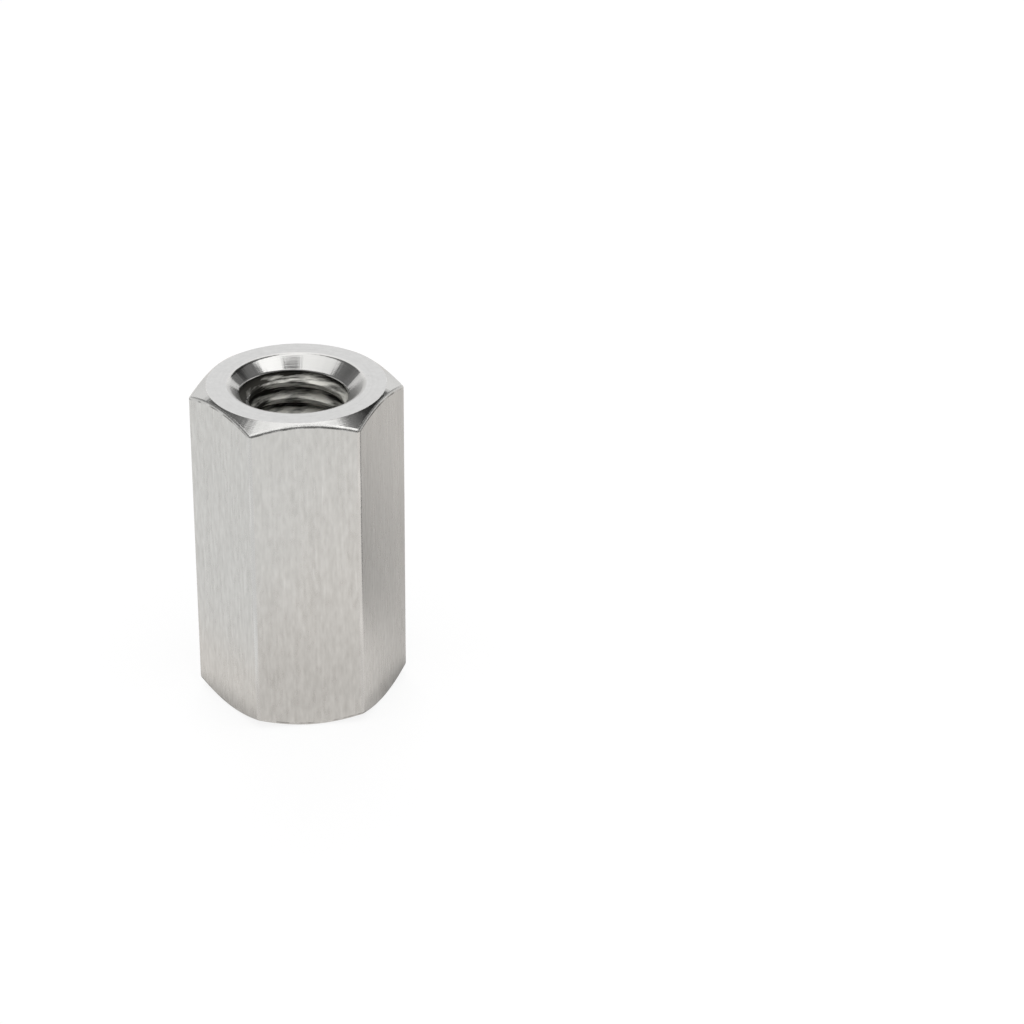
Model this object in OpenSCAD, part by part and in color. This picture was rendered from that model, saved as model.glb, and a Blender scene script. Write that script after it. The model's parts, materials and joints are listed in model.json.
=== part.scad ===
// Hexagonal coupling nut: a length of drawn hexagon bar, faced and chamfered at both ends,
// drilled through for its thread and countersunk at each mouth. The axis is +Z, and the nut stands
// on its lower end face with the origin at the middle of that face. Millimetres.

/* [Hexagon] */
// Width across the flats, which is the spanner size
across_flats = 13; // [12:0.5:24]
// Length from end face to end face
nut_length = 24; // [10:1:60]
// Depth by which the bar's corners are broken, measured along a radius
corner_break = 0.05; // [0.02:0.01:0.3]

/* [Thread] */
// Nominal diameter of the internal thread
thread_diameter = 8; // [5:0.5:10]
// Pitch of the thread
thread_pitch = 1.25; // [0.5:0.05:1.75]

/* [Turned ends] */
// Distance from the rim of the flat end face to the plane of a flat
end_face_inset = 0.25; // [0.05:0.05:0.4]
// Angle between the corner chamfer and the end face
chamfer_angle = 30; // [15:1:35]
// Distance that the countersink's rim stands outside the nominal thread
countersink_margin = 0.68; // [0.1:0.02:0.8]
// Included angle of the countersink
countersink_angle = 90; // [75:5:120]

/* [Hidden] */
$fn = 96;

// A cutting tool runs past the face that it cuts by this much
overcut = 1;

// Hexagon: circumscribed radius of the sharp bar, and the radius over its broken corners
sharp_corner_radius = across_flats / 2 / cos(30);
corner_radius = sharp_corner_radius - corner_break;

// Ends: the flat face, and the height of the chamfer where it meets a corner
end_face_radius = across_flats / 2 - end_face_inset;
chamfer_height = (corner_radius - end_face_radius) * tan(chamfer_angle);

// Thread: a 60 degree V of this full height, flattened to five eighths at the crests of the hole
thread_v_height = thread_pitch * cos(30);
minor_radius = thread_diameter / 2 - 5 / 8 * thread_v_height;

// Mouth: the countersink from its rim on the end face down to the crests of the thread
countersink_radius = thread_diameter / 2 + countersink_margin;
countersink_slope = tan(countersink_angle / 2);
countersink_depth = (countersink_radius - minor_radius) / countersink_slope;

// Drawn bar: six flats, with two corners on the X axis and two flats square to Y
module hexagon_bar() {
    cylinder(r = sharp_corner_radius, h = nut_length, $fn = 6);
}

// What the lathe leaves: flat faces, a cone at each end and the broken corners between them
module turned_envelope() {
    rotate_extrude()
        polygon([
            [0, 0],
            [end_face_radius, 0],
            [corner_radius, chamfer_height],
            [corner_radius, nut_length - chamfer_height],
            [end_face_radius, nut_length],
            [0, nut_length]
        ]);
}

// Drill at the thread's crests, through the whole length
module thread_hole() {
    translate([0, 0, -overcut])
        cylinder(r = minor_radius, h = nut_length + 2 * overcut);
}

// Countersink at the lower mouth, from the crests of the thread out past the end face
module countersink() {
    rotate_extrude()
        polygon([
            [0, -overcut],
            [countersink_radius + overcut * countersink_slope, -overcut],
            [minor_radius, countersink_depth],
            [0, countersink_depth]
        ]);
}

// The same countersink at both ends, the upper one turned over about the nut's middle
module both_countersinks() {
    countersink();
    translate([0, 0, nut_length])
        mirror([0, 0, 1])
            countersink();
}

// Stainless steel nut, one piece
module coupling_nut() {
    color([0.78, 0.77, 0.75])
        difference() {
            intersection() {
                hexagon_bar();
                turned_envelope();
            }
            thread_hole();
            both_countersinks();
        }
}

coupling_nut();
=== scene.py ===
import json
import math

import bmesh
import bpy
from mathutils import Matrix, Vector


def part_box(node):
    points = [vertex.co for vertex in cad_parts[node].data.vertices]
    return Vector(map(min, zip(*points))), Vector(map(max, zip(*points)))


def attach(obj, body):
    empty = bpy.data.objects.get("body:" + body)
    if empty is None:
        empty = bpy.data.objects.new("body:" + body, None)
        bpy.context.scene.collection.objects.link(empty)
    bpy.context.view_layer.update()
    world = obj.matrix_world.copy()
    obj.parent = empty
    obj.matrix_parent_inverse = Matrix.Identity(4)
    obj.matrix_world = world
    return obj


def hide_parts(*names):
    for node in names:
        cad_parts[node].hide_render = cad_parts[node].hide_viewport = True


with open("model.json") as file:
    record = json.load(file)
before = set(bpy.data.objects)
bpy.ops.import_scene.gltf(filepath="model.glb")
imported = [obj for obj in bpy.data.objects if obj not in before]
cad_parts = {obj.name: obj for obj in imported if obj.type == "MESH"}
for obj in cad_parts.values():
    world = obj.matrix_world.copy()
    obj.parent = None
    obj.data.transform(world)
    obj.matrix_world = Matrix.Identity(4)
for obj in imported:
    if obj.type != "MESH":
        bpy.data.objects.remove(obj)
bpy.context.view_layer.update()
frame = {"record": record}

# Camera: a long lens in front of the nut and well above it, very slightly out of level. It is aimed
# past the nut's right-hand side, so that the nut stands in the left half of a square picture.
mm = 0.001
camera_place = Vector((-13.23, -198.77, 122.0)) * mm
camera_lens = 112.43
camera_down = math.radians(28.54)
camera_turn = math.radians(-8.13)
camera_roll = math.radians(0.6)

camera_data = bpy.data.cameras.new("camera")
camera_data.lens = camera_lens
camera_data.sensor_width = 36
camera_data.clip_start = 10 * mm
camera_data.clip_end = 10
camera = bpy.data.objects.new("camera", camera_data)
camera.location = camera_place
turned = Matrix.Rotation(camera_turn, 3, "Z") @ Matrix.Rotation(math.pi / 2 - camera_down, 3, "X")
camera.rotation_euler = (turned @ Matrix.Rotation(camera_roll, 3, "Z")).to_euler()
bpy.context.scene.collection.objects.link(camera)
bpy.context.scene.camera = camera

# Coupling nut, blank: a length of drawn hexagon bar in stainless steel, faced, chamfered and
# countersunk at both ends on a lathe. The spun shape is the lathe's, six planes are the bar's flats,
# and the edges between them are rounded by handling.
nut_low, nut_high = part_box("coupling_nut")
nut_length = nut_high.z - nut_low.z
flat_count = 6
flat_distance = nut_high.y
sharp_corner = flat_distance / math.cos(math.radians(180 / flat_count))
# Share of its width by which the middle of a bevel on a hexagon's corner stands back
bevel_setback = 1 - math.sqrt(0.5)
edge_round = (sharp_corner - nut_high.x) / bevel_setback
thread_mount = next(m for m in frame["record"]["mounts"] if m["name"] == "thread")
crest_radius = thread_mount["dims"]["r_mm"] * mm
countersink_depth = (nut_length - thread_mount["dims"]["length_mm"] * mm) / 2
countersink_rim = crest_radius + countersink_depth
countersink_round = 0.17 * mm
end_face_inset = 0.25 * mm
end_face_radius = flat_distance - end_face_inset
end_face_round = 0.02 * mm
stock_margin = 0.3 * mm
stock_radius = sharp_corner + stock_margin
chamfer_angle = math.radians(30)
chamfer_height = (stock_radius - end_face_radius) * math.tan(chamfer_angle)
pilot_margin = 0.4 * mm
pilot_radius = crest_radius - pilot_margin
pilot_depth = countersink_rim - pilot_radius
lathe_steps = 192
merge_distance = 0.001 * mm
plane_tolerance = 0.0001 * mm
nearly_level = 0.99
nearly_upright = 0.5
DRAWN, FACED, TURNED, EDGE, THREADED = range(5)

blank = bmesh.new()
lower_end = [
    (pilot_radius, pilot_depth),
    (countersink_rim, 0),
    (end_face_radius, 0),
    (stock_radius, chamfer_height),
]
half_section = lower_end + [(radius, nut_length - height) for radius, height in reversed(lower_end)]
points = [blank.verts.new((radius, 0, height)) for radius, height in half_section]
outline = [blank.edges.new((points[i - 1], points[i])) for i in range(len(points))]
bmesh.ops.spin(
    blank,
    geom=points + outline,
    cent=(0, 0, 0),
    axis=(0, 0, 1),
    angle=2 * math.pi,
    steps=lathe_steps,
    use_merge=True,
)
bmesh.ops.remove_doubles(blank, verts=blank.verts, dist=merge_distance)
bmesh.ops.recalc_face_normals(blank, faces=blank.faces)
for face in blank.faces:
    level = abs(face.normal.z)
    face.material_index = TURNED
    if level > nearly_level:
        face.material_index = FACED
    elif level < nearly_upright:
        on_the_bar = face.calc_center_median().xy.length > countersink_rim
        face.material_index = DRAWN if on_the_bar else THREADED
for side in range(flat_count):
    angle = math.radians(360 / flat_count * (side + 0.5))
    outward = Vector((math.cos(angle), math.sin(angle), 0))
    cut = bmesh.ops.bisect_plane(
        blank,
        geom=blank.verts[:] + blank.edges[:] + blank.faces[:],
        dist=plane_tolerance,
        plane_co=outward * flat_distance,
        plane_no=outward,
        clear_outer=True,
    )
    rim = [part for part in cut["geom_cut"] if isinstance(part, bmesh.types.BMEdge)]
    flat = bmesh.ops.edgeloop_fill(blank, edges=rim)
    for face in flat["faces"]:
        face.material_index = DRAWN
bmesh.ops.recalc_face_normals(blank, faces=blank.faces)


def round_edges(made_by, least_angle, offset, segments, finish):
    """Rounds the edges of the faces that one tool made, where they turn by more than an angle."""
    found = []
    for edge in blank.edges:
        tools = {face.material_index for face in edge.link_faces}
        if made_by in tools and EDGE not in tools and edge.calc_face_angle(0) > math.radians(least_angle):
            found.append(edge)
    rounded = bmesh.ops.bevel(
        blank,
        geom=found,
        offset=offset,
        offset_type="OFFSET",
        affect="EDGES",
        segments=segments,
        profile=0.5,
        material=-1,
        clamp_overlap=True,
    )
    for face in rounded["faces"]:
        face.material_index = finish


round_edges(DRAWN, least_angle=20, offset=edge_round, segments=4, finish=EDGE)
round_edges(FACED, least_angle=40, offset=countersink_round, segments=5, finish=TURNED)
round_edges(FACED, least_angle=20, offset=end_face_round, segments=2, finish=EDGE)

# Coupling nut, thread: a right-hand metric thread, tapped right through from countersink to
# countersink. The tap is its own cross-section, turned as it is drawn up the axis, and the blank is
# cut by it.
thread_pitch = 1.25 * mm
thread_v_height = thread_pitch * math.cos(math.radians(30))
root_radius = crest_radius + 5 / 8 * thread_v_height
root_azimuth = math.radians(52)
crest_share = 1 / 4
root_share = 1 / 8
flank_share = (1 - crest_share - root_share) / 2
edge_softness = 0.02
tap_overrun = 1 * mm
tap_points = 48
tap_steps_per_turn = 48
sharp_angle = math.radians(35)


def thread_depth(share):
    """Depth from 0 at a crest to 1 at a root, at a share of the pitch from the middle of a root."""
    from_root = abs((share + 0.5) % 1 - 0.5)
    return 1 - min(max((from_root - root_share / 2) / flank_share, 0), 1)


def rounded_depth(share):
    """The same depth with the corners of crests and roots worn round."""
    near = thread_depth(share - edge_softness) + thread_depth(share + edge_softness)
    return (2 * thread_depth(share) + near) / 4


tap = bmesh.new()
section = bmesh.ops.create_circle(tap, segments=tap_points, radius=1)
tap_start = -tap_overrun
turns_to_top = (nut_length - tap_start) / thread_pitch
for point in section["verts"]:
    azimuth = math.atan2(point.co.y, point.co.x)
    share = (azimuth - root_azimuth) / (2 * math.pi) + turns_to_top
    radius = crest_radius + (root_radius - crest_radius) * rounded_depth(share)
    point.co = point.co.normalized() * radius
    point.co.z = tap_start
tap_turns = math.ceil((nut_length + 2 * tap_overrun) / thread_pitch)
lower_rim = tap.edges[:]
drawn_up = bmesh.ops.spin(
    tap,
    geom=lower_rim,
    cent=(0, 0, 0),
    axis=(0, 0, 1),
    dvec=(0, 0, thread_pitch / tap_steps_per_turn),
    angle=2 * math.pi * tap_turns,
    steps=tap_steps_per_turn * tap_turns,
)
upper_rim = [part for part in drawn_up["geom_last"] if isinstance(part, bmesh.types.BMEdge)]
bmesh.ops.edgeloop_fill(tap, edges=lower_rim)
bmesh.ops.edgeloop_fill(tap, edges=upper_rim)
bmesh.ops.recalc_face_normals(tap, faces=tap.faces)
for face in tap.faces:
    face.material_index = THREADED

# The finishes stand in the order of the five kinds of face
finish_names = ("drawn_flats", "faced_ends", "turned_cones", "rounded_edges", "cut_thread")
finishes = {name: bpy.data.materials.new(name) for name in finish_names}
pieces = []
for name, shape in (("blank", blank), ("tap", tap)):
    mesh = bpy.data.meshes.new(name)
    shape.to_mesh(mesh)
    shape.free()
    for material in finishes.values():
        mesh.materials.append(material)
    piece = bpy.data.objects.new(name, mesh)
    bpy.context.scene.collection.objects.link(piece)
    pieces.append(piece)
blank_piece, tap_piece = pieces
tapping = blank_piece.modifiers.new("tapping", "BOOLEAN")
tapping.operation = "DIFFERENCE"
tapping.solver = "MANIFOLD"
tapping.object = tap_piece
bpy.context.view_layer.update()
tapped = blank_piece.evaluated_get(bpy.context.evaluated_depsgraph_get())
nut = bpy.data.objects.new("hexagon_nut", bpy.data.meshes.new_from_object(tapped))
bpy.context.scene.collection.objects.link(nut)
for piece in pieces:
    bpy.data.objects.remove(piece)

shape = bmesh.new()
shape.from_mesh(nut.data)
for face in shape.faces:
    face.smooth = True
for edge in shape.edges:
    tools = {face.material_index for face in edge.link_faces}
    edge.smooth = len(tools) == 1 and edge.calc_face_angle(0) < sharp_angle
shape.to_mesh(nut.data)
shape.free()
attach(nut, "root")
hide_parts("coupling_nut")


# Stainless steel: every surface of the nut is the same bare metal, and only the tool that made it
# differs. Each finish is a colour between two greys, a roughness and a fine relief, on a place that is
# given in millimetres.
class Field:
    """A shader value: arithmetic on it adds Math nodes to its material, and node() adds any other."""

    def __init__(self, tree, socket=None):
        self.tree = tree
        self.socket = socket

    def node(self, kind, settings, inputs, output=0):
        made = self.tree.nodes.new(kind)
        for name, value in settings.items():
            setattr(made, name, value)
        for name, value in inputs.items():
            if isinstance(value, Field):
                self.tree.links.new(value.socket, made.inputs[name])
            else:
                made.inputs[name].default_value = value
        return Field(self.tree, made.outputs[output])

    def math(self, operation, first, second=0.0):
        return self.node("ShaderNodeMath", {"operation": operation}, {0: first, 1: second})

    def __add__(self, other):
        return self.math("ADD", self, other)

    def __radd__(self, other):
        return self.math("ADD", other, self)

    def __sub__(self, other):
        return self.math("SUBTRACT", self, other)

    def __rsub__(self, other):
        return self.math("SUBTRACT", other, self)

    def __mul__(self, other):
        return self.math("MULTIPLY", self, other)

    def __rmul__(self, other):
        return self.math("MULTIPLY", other, self)

    def __truediv__(self, other):
        return self.math("DIVIDE", self, other)


def bare_metal(material):
    """Makes a material bare metal, and gives its shader and its Object coordinates in millimetres."""
    material.use_nodes = True
    shader = material.node_tree.nodes["Principled BSDF"]
    shader.inputs["Metallic"].default_value = 1
    metres = Field(material.node_tree).node("ShaderNodeTexCoord", {}, {}, "Object")
    place = metres.node("ShaderNodeVectorMath", {"operation": "SCALE"}, {0: metres, "Scale": 1 / mm})
    return shader, place


def noise(place, scale, detail, stretch=(1, 1, 1)):
    """Noise from 0 to 1 on a place that is stretched along each axis first."""
    stretched = place.node("ShaderNodeVectorMath", {"operation": "MULTIPLY"}, {0: place, 1: stretch})
    return place.node("ShaderNodeTexNoise", {}, {"Vector": stretched, "Scale": scale, "Detail": detail})


def rise(value, low, high):
    """Smooth step from 0 at low to 1 at high."""
    return value.node(
        "ShaderNodeMapRange",
        {"interpolation_type": "SMOOTHSTEP"},
        {"Value": value, "From Min": low, "From Max": high},
    )


def split(vector):
    """The parts of a vector to the east, to the north and upwards."""
    return [vector.node("ShaderNodeSeparateXYZ", {}, {0: vector}, axis) for axis in "XYZ"]


def off_axis(place):
    """The part of a place that is square to the nut's axis."""
    return place.node("ShaderNodeVectorMath", {"operation": "MULTIPLY"}, {0: place, 1: (1, 1, 0)})


def turned_radius(place):
    """Distance from the nut's axis."""
    return place.node("ShaderNodeVectorMath", {"operation": "LENGTH"}, {0: off_axis(place)}, "Value")


def rings(radius, scale, detail):
    """Noise from 0 to 1 that runs round the axis in rings."""
    return radius.node(
        "ShaderNodeTexNoise",
        {"noise_dimensions": "1D"},
        {"W": radius, "Scale": scale, "Detail": detail},
    )


def along_thread(place):
    """Angle round the axis in radians, and pitches of the thread down from the upper end face."""
    east, north, height = split(place)
    azimuth = place.math("ARCTAN2", north, east)
    pitches_down = (nut_length / mm - height) * (mm / thread_pitch)
    return azimuth, pitches_down


def dress(shader, greys, tone, roughness, relief, depth):
    """Links a colour from the first grey at tone 0 to the second at 1, a roughness and a relief."""
    # A Mix node's colour sockets share their names with others, so they go by number
    first_colour, second_colour, mixed_colour = 6, 7, 2
    inputs = {"Factor": tone, first_colour: greys[0] + (1,), second_colour: greys[1] + (1,)}
    colour = tone.node("ShaderNodeMix", {"data_type": "RGBA"}, inputs, mixed_colour)
    bump = tone.node("ShaderNodeBump", {}, {"Height": relief, "Strength": 1.0, "Distance": depth * mm})
    for value, socket in ((colour, "Base Color"), (roughness, "Roughness"), (bump, "Normal")):
        tone.tree.links.new(value.socket, shader.inputs[socket])


# Drawn flats: the bar's own skin, pulled through a die and left as it came. The die leaves short soft
# streaks along the bar, broad bands, and a few longer lines and scratches.
shader, place = bare_metal(finishes["drawn_flats"])
streaks = noise(place, scale=3.8, detail=1.0, stretch=(1, 1, 0.3)) - 0.5
die_lines = noise(place, scale=4.5, detail=1.0, stretch=(1, 1, 0.05)) - 0.5
hair_lines = noise(place, scale=20.0, detail=1.0, stretch=(1, 1, 0.03)) - 0.5
broad_bands = noise(place, scale=0.8, detail=2.0, stretch=(1, 1, 0.15)) - 0.5
scratches = rise(noise(place, scale=4.0, detail=1.0, stretch=(1, 1, 0.05)), 0.68, 0.76)
tone = 0.5 + 0.9 * streaks + 0.4 * die_lines + 0.06 * hair_lines + 0.3 * broad_bands + 0.25 * scratches
dress(
    shader,
    greys=((0.49, 0.484, 0.464), (0.738, 0.734, 0.713)),
    tone=tone,
    roughness=0.3 + 0.15 * streaks + 0.15 * broad_bands,
    relief=streaks + 0.5 * die_lines + 0.08 * hair_lines,
    depth=0.006,
)

# Faced ends: the two flat rings, cut square on the lathe. The facing tool leaves close rings, and
# handling leaves them a little cloudy.
shader, place = bare_metal(finishes["faced_ends"])
radius = turned_radius(place)
fine_rings = rings(radius, scale=26.0, detail=2.0) - 0.5
wide_rings = rings(radius, scale=5.0, detail=2.0) - 0.5
cloud = noise(place, scale=2.6, detail=3.0) - 0.5
dress(
    shader,
    greys=((0.455, 0.453, 0.449), (0.7, 0.698, 0.692)),
    tone=0.5 + 0.2 * fine_rings + 0.2 * wide_rings + 0.7 * cloud,
    roughness=0.34 + 0.1 * fine_rings + 0.2 * cloud,
    relief=0.6 * fine_rings + 0.3 * wide_rings + cloud,
    depth=0.004,
)

# Turned cones: the chamfers and countersinks, smoother than the faces, with chatter marks round them.
# The countersinks are scuffed on one side, and their inner edge is broken where the thread runs out.
shader, place = bare_metal(finishes["turned_cones"])
radius = turned_radius(place)
north = split(place)[1]
scuffs = (1 - rise(north, -0.5, 0.8)) * (1 - rise(radius, 4.9, 5.1))
outward = place.node("ShaderNodeVectorMath", {"operation": "NORMALIZE"}, {0: off_axis(place)})
chatter = noise(outward, scale=7.0, detail=2.0) - 0.5
fine_rings = rings(radius, scale=18.0, detail=3.0) - 0.5
cloud = noise(place, scale=2.0, detail=2.0) - 0.5
azimuth, pitches_down = along_thread(place)
turns_from_root = (azimuth - root_azimuth) / (2 * math.pi) + pitches_down
thread_radius = place.node(
    "ShaderNodeMapRange",
    {},
    {
        "Value": place.math("PINGPONG", turns_from_root, 0.5),
        "From Min": root_share / 2,
        "From Max": root_share / 2 + flank_share,
        "To Min": root_radius / mm,
        "To Max": crest_radius / mm,
    },
)
edge_break = 0.25
near_edge = 1 - place.math("MINIMUM", (radius - thread_radius) / edge_break, 1.0)
dress(
    shader,
    greys=((0.52, 0.516, 0.504), (0.64, 0.636, 0.624)),
    tone=0.5 + 0.5 * fine_rings + 0.3 * cloud + 0.2 * chatter + scuffs * (1.6 * cloud - 0.5),
    roughness=0.15 + 0.1 * fine_rings + 0.1 * cloud + 0.2 * scuffs,
    relief=0.08 * fine_rings + 0.8 * chatter - 1.34 * near_edge * near_edge,
    depth=0.025,
)

# Rounded edges: the bar's corners and the rims of its ends, burnished by handling and painted a little
# lighter than the flats, which also paints a thin highlight along them. A broken dark band is painted
# where
# they tilt a little from upright: a painted reflection of dark surroundings, broken up by noise into
# nicks.
shader, place = bare_metal(finishes["rounded_edges"])
normal = place.node("ShaderNodeNewGeometry", {}, {}, "Normal")
slope = place.math("ABSOLUTE", split(normal)[2])
# Painted dark reflection: a band at one tilt of the rounded surface
dark_reflection_band = rise(slope, 0.08, 0.2) * (1 - rise(slope, 0.3, 0.45))
# Noise breaks the painted dark band into nicks
nicks_and_dark_reflection = dark_reflection_band * (0.08 + 0.7 * rise(noise(place, scale=1.0, detail=3.0), 0.44, 0.66))
wear = noise(place, scale=6.0, detail=3.0)
dull_stretches = 1 - rise(noise(place, scale=1.1, detail=2.0, stretch=(1, 1, 0.2)), 0.45, 0.62)
dress(
    shader,
    greys=((0.7, 0.696, 0.68), (0.22, 0.216, 0.205)),
    tone=nicks_and_dark_reflection + 0.16 * dull_stretches,
    roughness=0.18 + 0.2 * wear,
    relief=wear,
    depth=0.006,
)

# Cut thread: torn by the tap, with bright and dark marks along the turns and broader flute marks across
# them, which also paint patches of light. One side of the bore is painted brighter, a painted highlight
# runs beside the crests, and painted shade darkens the roots and the first turn in from each end.
shader, place = bare_metal(finishes["cut_thread"])
radius = turned_radius(place)
height = split(place)[2]
azimuth, pitches_down = along_thread(place)
marks_shift = 0.1
along = place.node(
    "ShaderNodeCombineXYZ",
    {},
    {
        "X": place.math("COSINE", azimuth),
        "Y": place.math("SINE", azimuth),
        "Z": pitches_down + marks_shift,
    },
)
tap_marks = noise(along, scale=1.0, detail=3.0, stretch=(2.6, 2.6, 8)) - 0.5
# Flute marks round each turn, set about the lit side so that they also paint patches of light and shade
broad_mark_count = 7
from_lit_side = azimuth - math.radians(62)
flute_marks_and_light = place.math("COSINE", broad_mark_count * from_lit_side)
# Painted light: one side of the bore is brighter, as if the light fell on it, and its marks stronger
painted_lit_side = place.math("COSINE", from_lit_side)
half_length = nut_length / mm / 2
from_middle = place.math("ABSOLUTE", height - half_length)
# Painted shade on the first turn in from each end, under the countersink's rim
shade_in_first_turn = rise(from_middle, half_length - 1.9, half_length - 1.2)
over_crest = radius - crest_radius / mm
# Painted highlight just outside the crests, where their edges would catch the light
crest_highlight = rise(over_crest, 0.04, 0.08) * (1 - rise(over_crest, 0.12, 0.35))
# Painted shade in the roots of the thread
shade_in_roots = rise(radius, root_radius / mm - 0.3, root_radius / mm - 0.05)
lit_side_contrast = 0.3 + 0.7 * rise(painted_lit_side, -0.3, 0.35)
tone = 0.06 + lit_side_contrast * (3.4 * tap_marks + 0.28 * flute_marks_and_light) + 0.75 * painted_lit_side
tone = tone - 0.25 * shade_in_first_turn + 0.3 * crest_highlight - 0.6 * shade_in_roots
dress(
    shader,
    greys=((0.07, 0.068, 0.06), (0.88, 0.87, 0.82)),
    tone=tone,
    roughness=0.62 + 0.3 * tap_marks,
    relief=tap_marks,
    depth=0.02,
)

# Floor: a wide sheet of white paper that the nut stands on. It is white to the camera and takes only a
# soft shadow. To the metal alone its glow is painted greyer: painted shade round the nut's foot and in
# front of it, painted dark reflections beside it, and a painted warm tint that fades out to the front
# left.
floor_size = 3
floor_mesh = bpy.data.meshes.new("floor")
sheet = bmesh.new()
bmesh.ops.create_grid(sheet, x_segments=1, y_segments=1, size=floor_size / 2)
sheet.to_mesh(floor_mesh)
sheet.free()
floor = bpy.data.objects.new("floor", floor_mesh)
bpy.context.scene.collection.objects.link(floor)
paper = bpy.data.materials.new("white_paper")
paper.use_nodes = True
shader = paper.node_tree.nodes["Principled BSDF"]
shader.inputs["Base Color"].default_value = (0.22, 0.22, 0.22, 1)
shader.inputs["Roughness"].default_value = 0.9
shader.inputs["Specular IOR Level"].default_value = 0
shader.inputs["Emission Strength"].default_value = 0.84
place = Field(paper.node_tree).node("ShaderNodeTexCoord", {}, {}, "Object")
from_camera = place.node("ShaderNodeLightPath", {}, {}, "Is Camera Ray")
from_metal = place.node("ShaderNodeLightPath", {}, {}, "Is Glossy Ray")
from_glass = place.node("ShaderNodeLightPath", {}, {}, "Is Transmission Ray")
east, north = split(place)[:2]
sideways = place.math("ABSOLUTE", east)
reach = place.node("ShaderNodeVectorMath", {"operation": "LENGTH"}, {0: place}, "Value")
beside_flat = 0.866 * sideways - 0.5 * north
# Painted shade on the paper close round the nut's foot, seen only in the metal
painted_shade_under_nut = (1 - rise(beside_flat, 6.8 * mm, 8.6 * mm)) * rise(north, -7 * mm, -5.5 * mm)
painted_shade_under_nut = 0.4 * painted_shade_under_nut * (1 - rise(reach, 8 * mm, 10 * mm))
# Painted dark reflection on the paper to the right of the nut, seen only in the metal
away = 0.9 * east + 0.43 * north
behind = rise(0.9 * north - 0.43 * east, -8.5 * mm, -2 * mm)
painted_dark_right = (0.06 + 0.84 * rise(away, 10 * mm, 24 * mm)) * (1 - behind)
painted_dark_right = painted_dark_right + (0.35 - 0.18 * rise(away, 26 * mm, 44 * mm)) * behind
painted_dark_right = painted_dark_right * rise(east, 3 * mm, 7 * mm) * rise(north, -15 * mm, -5 * mm)
# Painted shade: the paper to the left is a little greyer in the metal
painted_dark_left = 0.08 * (1 - rise(east, -14 * mm, -6 * mm))
# Painted shade on the paper in front of the nut, seen only in the metal
painted_shade_in_front = 0.165 * rise(north, -28 * mm, -12 * mm) * (1 - rise(north, -8 * mm, -5 * mm))
painted_shade_in_front = painted_shade_in_front * (1 - rise(sideways, 7 * mm, 13 * mm))
# Painted warm reflection in the paper's glow, fading out far to the front left
painted_warm_tint = rise(north + 2.2 * east, -35 * mm, -25 * mm)
# Glow that only the metal sees, darkened by the painted shade and painted dark reflections above
shade_seen_by_metal = 1 - painted_shade_under_nut - painted_dark_right - painted_dark_left - painted_shade_in_front
white_to_camera = from_camera + from_glass
shade_to_metal = from_metal * shade_seen_by_metal
loss_by_channel = (0, 0.04, 0.07)
channels = [white_to_camera + shade_to_metal * (1 - loss * painted_warm_tint) for loss in loss_by_channel]
glow = place.node("ShaderNodeCombineColor", {}, dict(enumerate(channels)))
paper.node_tree.links.new(glow.socket, shader.inputs["Emission Color"])
floor_mesh.materials.append(paper)

# Studio light: a soft box over the nut and towards the camera with a grey patch in it, a pale backdrop
# behind the nut, low pale walls around it, and dark gaps between them. The camera sees plain white.
world = bpy.data.worlds.new("studio")
bpy.context.scene.world = world
world.use_nodes = True
sky = world.node_tree.nodes["Background"]
direction = Field(world.node_tree).node("ShaderNodeTexCoord", {}, {}, "Generated")
east, north, up = split(direction)
lowest_slope = 0.02
height = up.math("MAXIMUM", up, lowest_slope)
across = east / height
backward = north / height
box = (
    rise(across, -1.07, -0.99)
    * (1 - rise(across, 0.86, 0.9))
    * (1 - rise(backward + 0.1 * across, 0.2, 0.24))
    * rise(backward, -1.2, -1.05)
)
grey_patch = (
    rise(across, -0.17, -0.11)
    * (1 - rise(across, 0.23, 0.29))
    * rise(backward, -0.6, -0.54)
    * (1 - rise(backward, -0.42, -0.34))
)
box_light = box * (1.48 + 0.3 * across) * (1 - 0.8 * grey_patch)
reach = up.math("SQRT", 1.0 - up.math("MINIMUM", up * up, 0.99))
facing_back = north / reach
backdrop = rise(facing_back - 0.15 * rise(up, 0.3, 0.6), 0.73, 0.81)
backdrop_light = backdrop * (0.85 + 0.7 * up + 0.1 * east)
walls = (1 - rise(up, 0.2, 0.27)) * rise(north, -0.5, -0.1)
wall_light = 0.9 * walls
dark_corner = rise(facing_back, 0.35, 0.6) * rise(up, 0.42, 0.5) * (1 - 0.7 * rise(up, 0.66, 0.8))
dark_corner = dark_corner * (0.3 + 0.7 * rise(east, -0.2, 0.3))
dark_side = rise(east, 0.47, 0.53) * rise(facing_back, 0.35, 0.48)
dark_side = dark_side * rise(up, 0.4, 0.48) * (1 - rise(up, 0.79, 0.84))
gap_light = 0.21 - 0.18 * up.math("MAXIMUM", dark_corner, dark_side)
strength = box_light
for light in (backdrop_light, wall_light, gap_light):
    strength = up.math("MAXIMUM", strength, light)
from_camera = up.node("ShaderNodeLightPath", {}, {}, "Is Camera Ray")
strength = strength * (1 - from_camera) + from_camera
world.node_tree.links.new(strength.socket, sky.inputs["Strength"])
sky.inputs["Color"].default_value = (1, 1, 1, 1)

bpy.context.scene.view_settings.view_transform = "Standard"
